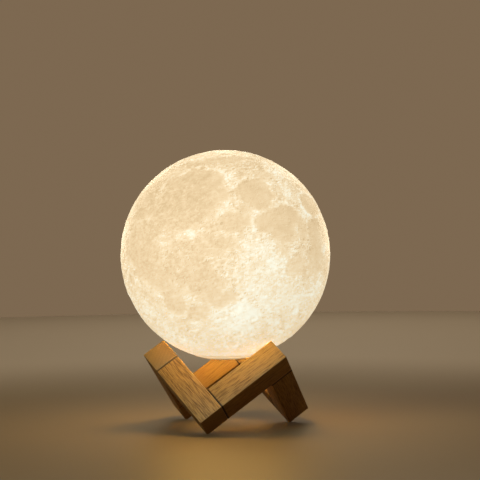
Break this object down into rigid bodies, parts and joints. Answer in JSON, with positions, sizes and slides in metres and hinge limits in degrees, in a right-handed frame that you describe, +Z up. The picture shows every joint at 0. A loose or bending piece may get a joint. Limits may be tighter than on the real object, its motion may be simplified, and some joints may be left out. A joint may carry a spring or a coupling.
{
  "type": "moon lamp",
  "caption": "Warm lit printed globe with the moon's relief, resting on an open zigzag stand of square wooden bars, with a push button and charging socket underneath.",
  "frame": {"origin": "on the floor, straight under the globe's centre", "axes": "+Z up, the stand's front foot points to -Y, +X to the right seen from the front"},
  "size_m": [0.15, 0.15, 0.1967],
  "materials": {
    "globe_print": "printed warm white with fine layers, lit from inside",
    "stand_wood": "planed and sanded, thin matt oil",
    "dowel_wood": "turned, bare",
    "cap_plastic": "fine spark texture",
    "button_plastic": "satin",
    "carrier_plastic": "satin",
    "switch_plastic": "satin",
    "plated_steel": "bright nickel",
    "contact_plastic": "satin",
    "clear_plastic": "clear, polished end",
    "emitter_gel": "yellow phosphor gel",
    "board_green": "green solder mask",
    "chip_black": "moulded epoxy",
    "plug_nylon": "satin",
    "foam_grey": "closed-cell foam",
    "battery_foil": "satin foil pouch",
    "lead_red": "satin sleeve",
    "lead_black": "satin sleeve",
    "lead_white": "satin sleeve",
    "screw_steel": "zinc plated",
    "white_board": "white solder mask on aluminium"
  },
  "bodies": {
    "left_half": {"left_front_bar": "stand_wood", "left_back_bar": "stand_wood", "left_side_bar": "stand_wood", "left_half_dowels": "dowel_wood", "back_loose_dowel": "dowel_wood"},
    "right_half": {"right_front_bar": "stand_wood", "right_side_bar": "stand_wood", "right_back_bar": "stand_wood", "right_half_dowels": "dowel_wood", "front_loose_dowel": "dowel_wood"},
    "globe": {"moon_shell": "globe_print", "base_cap": "cap_plastic", "switch_body": "switch_plastic", "socket_shell": "plated_steel", "socket_tongue": "contact_plastic", "light_pipe": "clear_plastic", "indicator_led": "emitter_gel", "control_board": "board_green", "board_parts": "chip_black", "battery_plug": "plug_nylon", "inner_carrier": "carrier_plastic", "battery_pad": "foam_grey", "battery": "battery_foil", "battery_red_lead": "lead_red", "battery_black_lead": "lead_black", "case_screws": "screw_steel", "light_board": "white_board", "light_emitters": "emitter_gel", "light_board_screws": "screw_steel", "light_leads": "lead_white"},
    "button": {"power_button": "button_plastic", "switch_plunger": "switch_plastic"}
  },
  "joints": [
    {"name": "stand_halves", "type": "slide", "parent": "left_half", "child": "right_half", "axis": [0.7071, 0.4082, 0.5774], "range_m": [0, 0.02]},
    {"name": "globe_lift", "type": "slide", "parent": "right_half", "child": "globe", "axis": [0, 0, 1], "range_m": [0, 0.06]},
    {"name": "button_press", "type": "slide", "parent": "globe", "child": "button", "axis": [0, 0, 1], "range_m": [0, 0.0008], "stiffness_N_per_m": 800, "springref_m": -0.0005}
  ]
}
